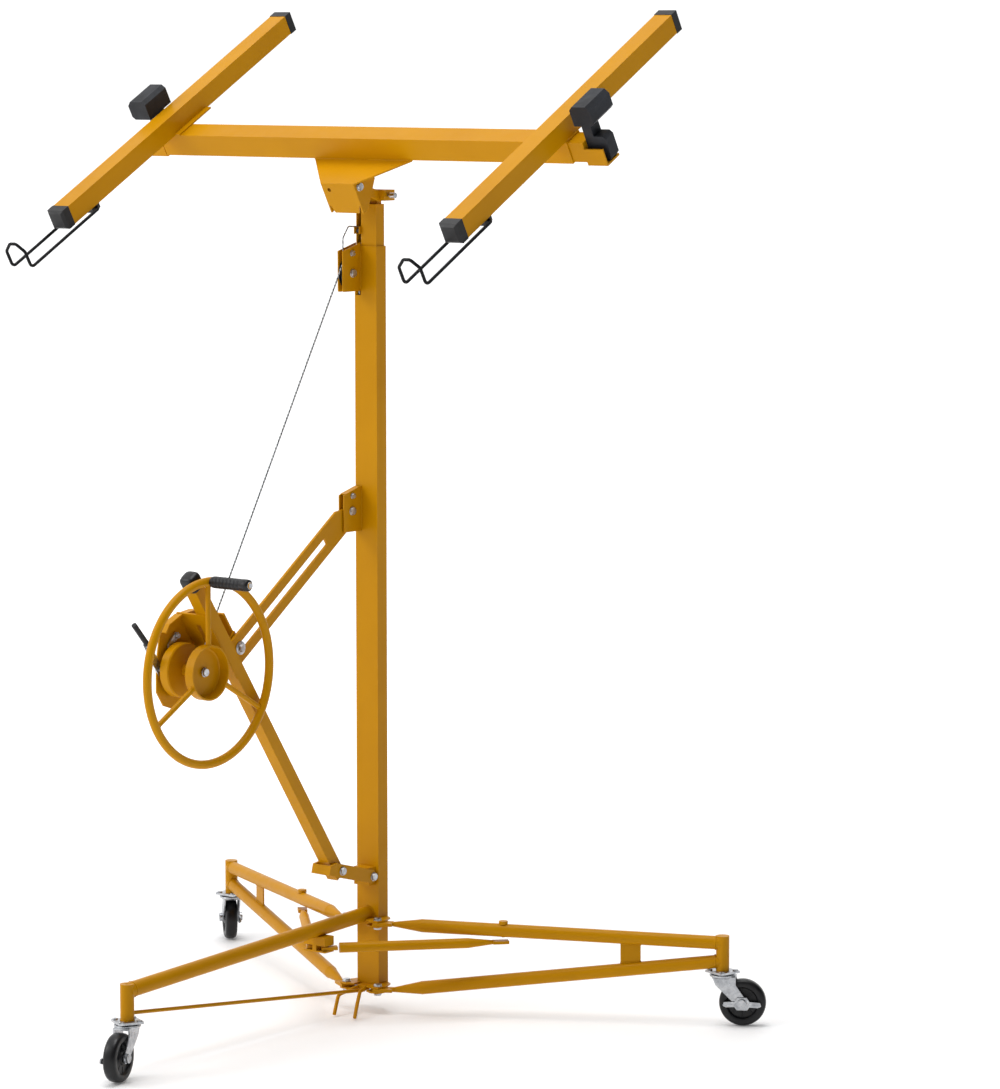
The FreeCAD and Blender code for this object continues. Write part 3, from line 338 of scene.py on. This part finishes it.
class Shape:
    """One mesh piece, made of turned, extruded and bent parts in metres."""

    def __init__(self, name, body, material, slot):
        self.name, self.body, self.material, self.slot = name, body, material, slot
        self.bm = bmesh.new()

    def ring_stack(self, rings, closed=False):
        """Skins a list of rings of points."""
        loops = [[self.bm.verts.new(p) for p in ring] for ring in rings]
        pairs = list(zip(loops, loops[1:]))
        if closed:
            pairs.append((loops[-1], loops[0]))
        for a, b in pairs:
            for i in range(len(a)):
                j = (i + 1) % len(a)
                self.bm.faces.new((a[i], a[j], b[j], b[i]))
        if not closed:
            self.bm.faces.new(loops[0][::-1])
            self.bm.faces.new(loops[-1])

    def turned(self, profile, place, sides, closed=False):
        """Revolves (along, radius) points about the place's X axis; a closed outline leaves a bore."""
        rings = []
        for along, radius in profile:
            ring = []
            for i in range(sides):
                angle = 2 * math.pi * i / sides
                ring.append(place @ Vector((along, radius * math.cos(angle), radius * math.sin(angle))))
            rings.append(ring)
        self.ring_stack(rings, closed)

    def bead(self, centre, axis, radius, thick):
        """A weld bead round a tube: a ring whose thickness ripples."""
        place = placed(centre, axis)
        steps = max(16, int(radius * 2 * math.pi / BEAD_STEP))
        rings = []
        for k in range(steps):
            angle = math.radians(360 * k / steps)
            swell = thick * (0.85 + 0.25 * math.sin(k * 1.9) + random.uniform(-0.08, 0.08))
            ring = []
            for m in range(8):
                phi = 2 * math.pi * m / 8
                r = radius + swell * math.cos(phi)
                ring.append(place @ Vector((swell * math.sin(phi), r * math.cos(angle), r * math.sin(angle))))
            rings.append(ring)
        self.ring_stack(rings, closed=True)

    def seam(self, start, end, thick):
        """A straight weld bead."""
        run = end - start
        turn = run.normalized().to_track_quat("X", "Z").to_matrix()
        steps = max(6, int(run.length / SEAM_STEP))
        rings = []
        for k in range(steps + 1):
            swell = thick * (0.8 + 0.25 * math.sin(k * 1.9) + random.uniform(-0.08, 0.08))
            if k in (0, steps):
                swell *= 0.4
            centre = start + run * k / steps
            rings.append([centre + turn @ Vector((0, swell * math.cos(math.pi * m / 4),
                                                  swell * math.sin(math.pi * m / 4))) for m in range(8)])
        self.ring_stack(rings)

    def hexagon(self, place, start, end, across, bevel):
        """A hexagonal head or nut along the place's X axis, its outer rim turned down."""
        rings = []
        step = bevel if end > start else -bevel
        for along, scale in ((start, 1.0), (end - step, 1.0), (end, 0.86)):
            ring = []
            for i in range(24):
                angle = 2 * math.pi * i / 24
                flat = across / 2 / math.cos((angle + math.pi / 6) % (math.pi / 3) - math.pi / 6)
                r = min(flat, across / 2 * 1.1) * scale if scale == 1.0 else across / 2 * 0.97
                ring.append(place @ Vector((along, r * math.cos(angle), r * math.sin(angle))))
            rings.append(ring)
        if end < start:
            rings = [ring[::-1] for ring in rings]
        self.ring_stack(rings)

    def bolt(self, start, end, shank, washer, head):
        """A hex bolt from face to face with washers, a head before start and a nut after end."""
        place = placed(start, end - start)
        length = (end - start).length
        self.turned([(-0.0005, shank), (length + 0.0005, shank)], place, 24)
        washer_profile = [(0, washer - 0.0006), (0.0003, washer), (0.0012, washer), (0.0015, washer - 0.0006)]
        self.turned([(-a, r) for a, r in washer_profile], place, 32)
        self.hexagon(place, -0.0015, -0.005, head, 0.0009)
        far = place @ Matrix.Translation(Vector((length, 0, 0)))
        self.turned(washer_profile, far, 32)
        self.hexagon(far, 0.0015, 0.0046, head, 0.0008)
        self.turned([(0.0044, shank * 0.8), (0.005, shank * 0.74)], far, 20)

    def done(self, *replaced, smooth=40.0, bevel=0.0):
        """Finishes the piece and puts it on its body."""
        bmesh.ops.recalc_face_normals(self.bm, faces=self.bm.faces)
        mesh = bpy.data.meshes.new(self.name)
        self.bm.to_mesh(mesh)
        self.bm.free()
        obj = bpy.data.objects.new(self.name, mesh)
        scene.collection.objects.link(obj)
        mesh.materials.append(self.material)
        mesh.shade_smooth()
        mesh.set_sharp_from_angle(angle=math.radians(smooth))
        if bevel:
            soften(obj, bevel)
        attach(obj, self.body)
        if replaced:
            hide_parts(*replaced)
        return obj


# ---------------------------------------------------------------- fasteners
def make_fasteners():
    """Hex bolts with washers and nuts in place of the plain pins."""
    base = Shape("mast_fasteners", "base", ZINC, "zinc")
    for name in ("pulley_spin", "brace_swing"):
        centre = at(name)
        base.bolt(centre + X * 0.0065, centre - X * 0.0065, *PIVOT_BOLT)
    for centre in (mm(-18, -39.4, 1437), mm(-18, -41, 983.5)):
        base.bolt(centre + X * 0.0065, centre - X * 0.0065, *BRACKET_BOLT)
    link = mm(0, -24, 260)
    for centre in (at("strut_fold"), link):
        base.bolt(centre + X * 0.022, centre - X * 0.022, *PIVOT_BOLT)
    for side in ("right", "left"):
        hinge = at(f"{side}_leg_fold")
        for height in (0.173, 0.046):
            centre = Vector((hinge.x, hinge.y, height))
            base.bolt(centre + Z * 0.0062, centre - Z * 0.0062, *PIVOT_BOLT)
    base.done("mast_bolts")

    tilt = Shape("tilt_fastener", "cradle", ZINC, "zinc")
    pivot = at("cradle_tilt")
    tilt.bolt(pivot + X * 0.039, pivot - X * 0.039, *PIVOT_BOLT)
    tilt.done("tilt_bolt")

    winch = Shape("winch_fasteners", "strut", ZINC, "zinc")
    axle = at("drum_spin")
    winch.bolt(axle + X * 0.017, axle - X * 0.058, *PIVOT_BOLT)
    for name, start in (("lever_swing", -0.0524), ("pawl_swing", -0.0478)):
        pin = at(name)
        winch.bolt(Vector((start, pin.y, pin.z)), Vector((-0.058, pin.y, pin.z)), *BRAKE_PIN)
    winch.done("winch_axle")

    low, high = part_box("slot_bolt")
    middle = (low + high) / 2
    clamp = Shape("slot_fastener", "strut", ZINC, "zinc")
    place = Matrix.Translation(Vector((high.x, middle.y, middle.z)))
    clamp.turned([(-0.019, 0.0046), (-0.005, 0.0046)], place, 24)
    clamp.turned([(-0.0067, 0.0115), (-0.0064, 0.0124), (-0.005, 0.0124), (-0.0047, 0.0115)], place, 36)
    clamp.hexagon(place, -0.0047, 0, 0.0134, 0.0009)
    clamp.done("slot_bolt")


# ---------------------------------------------------------------- welds
def upper_tube(x):
    """Height of a side leg's upper tube."""
    return UPPER_START - UPPER_FALL * x / LEG_RUN


def lower_tube(x):
    """Height of a side leg's lower tube."""
    return LOWER_START + LOWER_RISE * x / LEG_RUN


def make_welds():
    """Weld beads where tubes and plates meet, under the paint."""
    base = Shape("mast_welds", "base", YELLOW, "yellow_paint")
    base.bead(mm(0, -14.8, 185.7), Y, 0.0142, 0.0016)
    base.bead(mm(0, -690, 103.8), Z, 0.0127, 0.0008)
    base.bead(mm(0, -677.5, 156.8), Vector((0, 1, 0.044)), 0.0138, 0.0014)
    for node in ("pulley_bracket", "brace_bracket"):
        low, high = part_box(node)
        for x in (low.x, high.x):
            base.seam(Vector((x, -0.0146, low.z + 0.004)), Vector((x, -0.0146, high.z - 0.006)), 0.0013)
    for side in (-1, 1):
        for height in (168.3, 177.7, 41.3, 50.7):
            base.seam(mm(side * 26.5, -12, height - 1.8), mm(side * 26.5, 10, height - 1.8), 0.0012)
        base.seam(mm(side * 17.8, -14.6, 245), mm(side * 17.8, -14.6, 275), 0.0012)
    base.done(smooth=60)

    for side, hand in (("right", 1), ("left", -1)):
        hinge = at(f"{side}_leg_fold")
        heading = 29.5 if hand > 0 else 150.5
        turn = (Matrix.Translation(Vector((hinge.x, hinge.y, 0)))
                @ Matrix.Rotation(math.radians(heading), 4, "Z"))
        leg = Shape(f"{side}_leg_welds", f"{side}_leg", YELLOW, "yellow_paint")
        along = turn.to_3x3() @ X
        for z, slope in ((155.3, -UPPER_FALL / LEG_RUN), (119.5, LOWER_RISE / LEG_RUN)):
            leg.bead(turn @ mm(641, 0, z), along + Z * slope, 0.0124, 0.0013)
        for x in (462, 500):
            for level in (lower_tube(x) + 12.2, upper_tube(x) - 12.2):
                leg.seam(turn @ Vector((x * MM, 0.002, level * MM)),
                         turn @ Vector((x * MM + 0.0005, -0.002, level * MM)), 0.0011)
        for tube, gap in ((upper_tube, -12.3), (lower_tube, 12.6)):
            for across in (2.4, -2.4):
                leg.seam(turn @ mm(463, across, tube(463) + gap),
                         turn @ mm(499, across, tube(499) + gap), 0.0012)
        leg.done(smooth=60)

    wheel = Shape("hand_wheel_welds", "drum", YELLOW, "yellow_paint")
    axle = at("drum_spin")
    for angle in (90, 210, 330):
        out = Vector((0, math.cos(math.radians(angle)), math.sin(math.radians(angle))))
        base_at = axle + X * 0.0265
        wheel.bead(base_at + out * 0.0502, out, 0.0052, 0.0012)
        wheel.bead(base_at + out * 0.158, out, 0.0053, 0.0013)
    wheel.done(smooth=60)

    cradle = Shape("cradle_welds", "cradle", YELLOW, "yellow_paint")
    for hand in (-1, 1):
        for x in (446, 484):
            start = CRADLE @ mm(hand * x, -21, 22.2)
            cradle.seam(start, CRADLE @ mm(hand * x, 21, 22.2), 0.0013)
        cradle.seam(CRADLE @ mm(hand * 115, -22.6, -22.2), CRADLE @ mm(hand * 20, -22.6, -22.2), 0.0013)
        cradle.seam(CRADLE @ mm(hand * 39.4, -108, -25.4), CRADLE @ mm(hand * 39.4, -52, -25.4), 0.0012)
    cradle.done(smooth=60)


# ---------------------------------------------------------------- moulded and turned parts
def make_grips():
    """The spinner grip with moulded rings, and the nut on its end."""
    low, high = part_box("spinner_grip")
    axis = at("spinner_spin")
    place = Matrix.Translation(Vector((low.x, axis.y, axis.z)))
    length = high.x - low.x
    profile = [(0, 0.0032), (0, 0.0085), (0.0012, 0.0096), (0.005, 0.0104)]
    x = 0.008
    while x < length - 0.012:
        profile += [(x, 0.0107), (x + 0.0008, 0.0101), (x + 0.0018, 0.0101), (x + 0.0026, 0.0108)]
        x += 0.0085
    profile += [(length - 0.006, 0.0109), (length - 0.0015, 0.0104), (length, 0.0088), (length, 0.0032)]
    grip = Shape("spinner_grip_moulded", "spinner", BLACK_PLASTIC, "black_plastic")
    grip.turned(profile, place, 48, closed=True)
    grip.done("spinner_grip", smooth=50)

    tip = Shape("spinner_nut", "drum", ZINC, "zinc")
    end = Matrix.Translation(Vector((high.x, axis.y, axis.z)))
    tip.turned([(0.0002, 0.0062), (0.0011, 0.0066), (0.0017, 0.0062)], end, 28)
    tip.hexagon(end, 0.0017, 0.0046, 0.0088, 0.0006)
    tip.done(smooth=40)


# Height above the strut's top and half width, in millimetres, and how square the ring is (2 is round).
CAP_RINGS = ((0.0003, 13.2, 6), (0.0003, 14.6, 6), (2.5, 15.1, 5), (21, 15.6, 4.5),
             (25.5, 15.0, 4), (28.6, 12.4, 3.4), (29.8, 8.0, 3), (30.1, 3.0, 2.4))


def make_strut_cap():
    """The moulded plug on the strut's upper end, square with round corners and a domed top."""
    cap = Shape("strut_cap_moulded", "strut", BLACK_PLASTIC, "black_plastic")
    sides = 56
    rings = []
    for along, reach, square in CAP_RINGS:
        ring = []
        for i in range(sides):
            angle = 2 * math.pi * i / sides
            c, s = math.cos(angle), math.sin(angle)
            r = reach / (abs(c) ** square + abs(s) ** square) ** (1 / square)
            ring.append(STRUT @ mm(r * c, r * s, STRUT_TOP + along))
        rings.append(ring)
    cap.ring_stack(rings)
    cap.done("strut_cap", smooth=45)


# The caster plates' nuts: the radius of their circle and their height above the floor, in metres.
NUT_CIRCLE = 0.024
NUT_HEIGHT = 0.1032


def make_casters():
    """Crowned wheels with ribs and a hub, the forks' ball races and axle nuts, and the plates' nuts."""
    for name in ("front", "right", "left"):
        axis = Vector(joints[f"{name}_roll"]["axis"])
        hub_at = at(f"{name}_roll")
        place = Matrix.Translation(hub_at) @ axis.to_track_quat("X", "Z").to_matrix().to_4x4()
        wheel = Shape(f"{name}_wheel_turned", f"{name}_roll", TREAD, "caster_tread")
        half = 0.012
        profile = [(-half, 0.00506), (-half, 0.0115), (-half + 0.0035, 0.0135), (-half + 0.0045, 0.0165),
                   (-half + 0.0045, 0.0275), (-half + 0.003, 0.0292), (-half + 0.0006, 0.0302),
                   (-half, 0.0318), (-half, 0.0385), (-half + 0.0012, 0.0413), (-half + 0.004, 0.0433),
                   (-half + 0.008, 0.04395), (half - 0.008, 0.04395), (half - 0.004, 0.0433),
                   (half - 0.0012, 0.0413), (half, 0.0385), (half, 0.0318), (half - 0.0006, 0.0302),
                   (half - 0.003, 0.0292), (half - 0.0045, 0.0275), (half - 0.0045, 0.0165),
                   (half - 0.0035, 0.0135), (half, 0.0115), (half, 0.00506)]
        wheel.turned(profile, place, 72, closed=True)
        for i in range(8):
            angle = 2 * math.pi * i / 8
            out = place.to_3x3() @ Vector((0, math.cos(angle), math.sin(angle)))
            for side in (-1, 1):
                centre = place @ Vector((side * (half - 0.0044), 0, 0))
                wheel.seam(centre + out * 0.0155, centre + out * 0.0285, 0.0011)
        wheel.done(f"{name}_wheel", smooth=35)

        fork = Shape(f"{name}_fork_details", f"{name}_swivel", ZINC, "zinc")
        swivel = at(f"{name}_swivel")
        fork.bead(Vector((swivel.x, swivel.y, 0.0945)), Z, 0.0232, 0.0012)
        end = Matrix.Translation(hub_at) @ (-axis.normalized()).to_track_quat("X", "Z").to_matrix().to_4x4()
        fork.hexagon(end, 0.0165, 0.0214, 0.0136, 0.0009)
        fork.done(smooth=40)

        plate = Shape(f"{name}_plate_nuts", "base" if name == "front" else f"{name}_leg", ZINC, "zinc")
        low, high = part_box(f"{name}_caster_plate")
        middle = (low + high) / 2
        heading = {"front": 287, "right": 30, "left": 137}[name]
        for i in range(4):
            angle = math.radians(heading + 90 * i)
            spot = Vector((middle.x + NUT_CIRCLE * math.cos(angle),
                           middle.y + NUT_CIRCLE * math.sin(angle), NUT_HEIGHT))
            stand = Matrix.Translation(spot) @ Z.to_track_quat("X", "Y").to_matrix().to_4x4()
            plate.hexagon(stand, 0, 0.002, 0.0095, 0.0005)
        plate.done(smooth=40)


# ---------------------------------------------------------------- floor, light
# The studio is brightest towards this direction.
BRIGHT_SIDE = (-0.96, 0, 0.28)
# Name, place, aim, size in metres and power in watts.
LIGHTS = (
    ("Key", (-4.2, -5.2, 5.0), (0, 0, 0.9), 3.0, 150),
    ("Top", (0.3, -0.4, 6.5), (0, 0, 1.0), 3.0, 190),
)


def make_stage():
    """A plain pale floor with a painted glow, pale surroundings and large soft lights."""
    floor_mesh = bpy.data.meshes.new("Floor")
    bm = bmesh.new()
    bmesh.ops.create_circle(bm, cap_ends=True, segments=96, radius=90)
    bm.to_mesh(floor_mesh)
    bm.free()
    floor = bpy.data.objects.new("Floor", floor_mesh)
    scene.collection.objects.link(floor)
    pale = Finish("pale_floor", 0.6)
    pale.colour(pale.mix(pale.ramp(pale.noise(1.5, 3), 0.3, 0.7), srgb(244, 244, 244), srgb(241, 241, 242)))
    # The floor glows though it is no lamp: a painted glow, weak near the lift so its shadows show and stronger
    # further out so the floor stays white.
    pale.shader.inputs["Emission Color"].default_value = (1, 1, 1, 1)
    away = pale.add("ShaderNodeVectorMath", operation="LENGTH")
    pale.link(pale.place, away.inputs[0])
    painted_floor_glow = pale.ramp(away.outputs["Value"], 1.0, 3.5, 0.1, 0.5)
    pale.link(painted_floor_glow, pale.shader.inputs["Emission Strength"])
    floor_mesh.materials.append(pale.material)
    floor.location.z = -0.0005

    world = bpy.data.worlds.new("Studio")
    scene.world = world
    world.use_nodes = True
    background = next(n for n in world.node_tree.nodes if n.type == "BACKGROUND")
    background.inputs["Color"].default_value = (1, 1, 1, 1)
    tree = world.node_tree
    ray = tree.nodes.new("ShaderNodeTexCoord").outputs["Generated"]
    dot = tree.nodes.new("ShaderNodeVectorMath")
    dot.operation = "DOT_PRODUCT"
    dot.inputs[1].default_value = BRIGHT_SIDE
    tree.links.new(ray, dot.inputs[0])
    sky = tree.nodes.new("ShaderNodeMapRange")
    set_range(sky, -0.3, 0.45, 0.12, 1.08)
    tree.links.new(dot.outputs["Value"], sky.inputs["Value"])
    tree.links.new(sky.outputs["Result"], background.inputs["Strength"])
    for name, spot, aim, extent, power in LIGHTS:
        data = bpy.data.lights.new(name, "AREA")
        data.energy = power
        data.size = extent
        light = bpy.data.objects.new(name, data)
        light.location = spot
        light.rotation_euler = (Vector(aim) - Vector(spot)).to_track_quat("-Z", "Y").to_euler()
        scene.collection.objects.link(light)


scene.view_settings.view_transform = "Standard"
make_camera()
finish_cad()
make_fasteners()
make_welds()
make_grips()
make_strut_cap()
make_casters()
make_stage()
